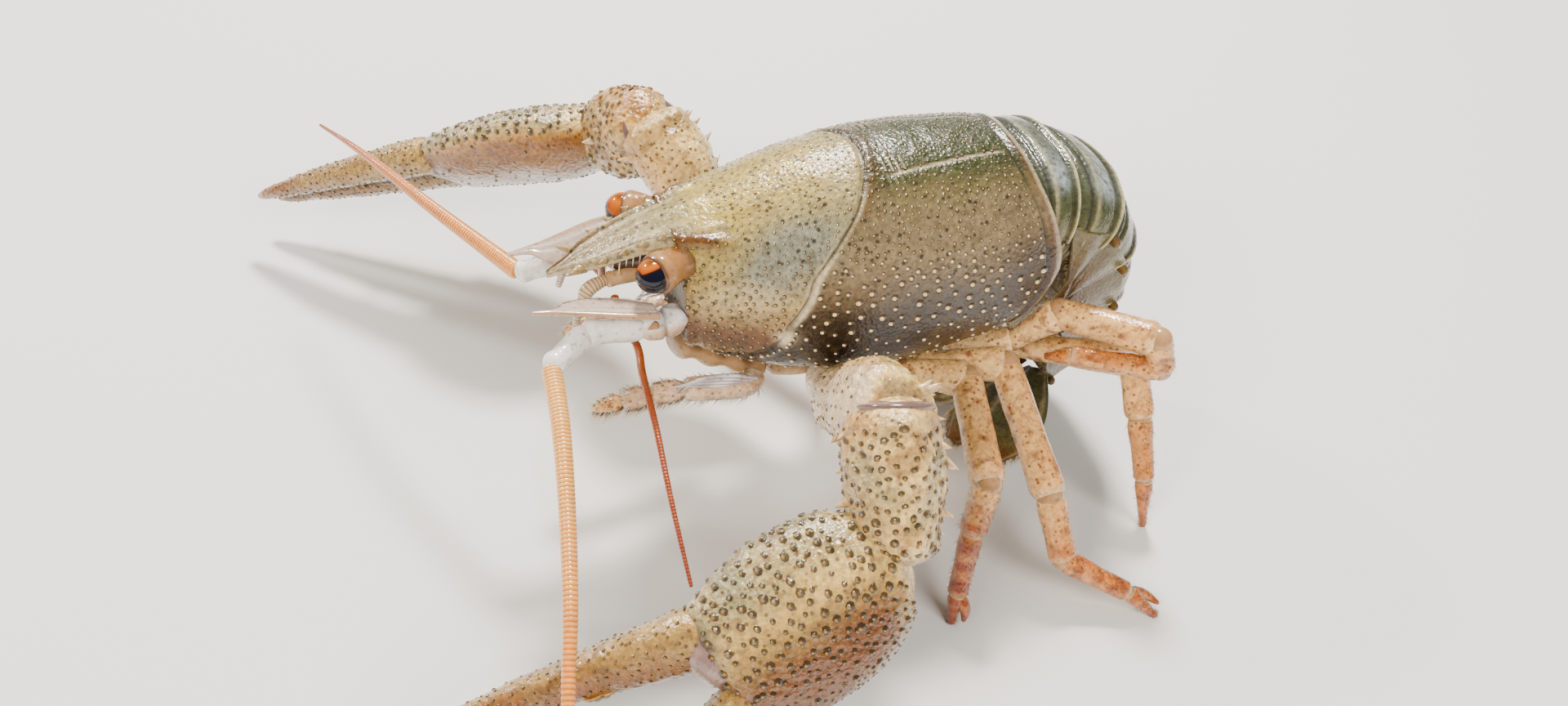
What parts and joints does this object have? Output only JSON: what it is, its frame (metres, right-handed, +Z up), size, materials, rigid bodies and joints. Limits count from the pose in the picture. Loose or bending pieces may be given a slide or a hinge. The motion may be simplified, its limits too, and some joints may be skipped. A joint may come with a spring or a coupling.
{
  "type": "crayfish",
  "caption": "Life-size still model of a narrow-clawed crayfish, claws reaching forward and tail curled under, standing on its legs and the tip of one claw, for natural-history display",
  "frame": {"origin": "On the floor, under the middle of the bounding box", "axes": "+X towards the tail, so the head points to -X; +Y to the animal's right; +Z up"},
  "size_m": [0.12, 0.15, 0.0518],
  "materials": {
    "olive_shell": "wet olive-green chitin with pale-tipped tubercles",
    "abdomen_shell": "wet olive-grey chitin, smooth, with pale bands",
    "claw_shell": "cream-brown chitin with dark tubercles",
    "leg_shell": "tan chitin with red-brown blotches",
    "feeler_shell": "orange ringed chitin",
    "joint_skin": "whitish joint skin and thin plates",
    "eye_cornea": "glossy blue-black cornea"
  },
  "bodies": {
    "root": {"abdomen_1": "abdomen_shell", "abdomen_2": "abdomen_shell", "abdomen_3": "abdomen_shell", "abdomen_4": "abdomen_shell", "abdomen_5": "abdomen_shell", "abdomen_6": "abdomen_shell", "antenna_base_l": "olive_shell", "antenna_base_r": "olive_shell", "antenna_l_1": "feeler_shell", "antenna_l_2": "feeler_shell", "antenna_r_1": "feeler_shell", "antenna_r_2": "feeler_shell", "antenna_scale_l": "joint_skin", "antenna_scale_r": "joint_skin", "antenna_stem_l": "joint_skin", "antenna_stem_r": "joint_skin", "antennule_l": "joint_skin", "antennule_r": "joint_skin", "carapace_back": "olive_shell", "carapace_head": "olive_shell", "claw_l_carpus": "claw_shell", "claw_l_finger": "claw_shell", "claw_l_merus": "claw_shell", "claw_l_palm": "claw_shell", "claw_r_carpus": "claw_shell", "claw_r_finger": "claw_shell", "claw_r_merus": "claw_shell", "claw_r_palm": "claw_shell", "eye_l": "eye_cornea", "eye_r": "eye_cornea", "eyestalk_l": "joint_skin", "eyestalk_r": "joint_skin", "leg2_l_lower": "leg_shell", "leg2_l_upper": "leg_shell", "leg2_r_lower": "leg_shell", "leg2_r_upper": "leg_shell", "leg3_l_lower": "leg_shell", "leg3_l_upper": "leg_shell", "leg3_r_lower": "leg_shell", "leg3_r_upper": "leg_shell", "leg4_l_lower": "leg_shell", "leg4_l_upper": "leg_shell", "leg4_r_lower": "leg_shell", "leg4_r_upper": "leg_shell", "leg5_l_lower": "leg_shell", "leg5_l_upper": "leg_shell", "leg5_r_lower": "leg_shell", "leg5_r_upper": "leg_shell", "maxilliped_l": "leg_shell", "maxilliped_r": "leg_shell", "mouth": "joint_skin", "sternum": "joint_skin", "strand_l": "feeler_shell", "strand_r": "feeler_shell", "telson": "abdomen_shell", "uropod_l_inner": "abdomen_shell", "uropod_l_outer": "abdomen_shell", "uropod_r_inner": "abdomen_shell", "uropod_r_outer": "abdomen_shell"}
  },
  "joints": []
}
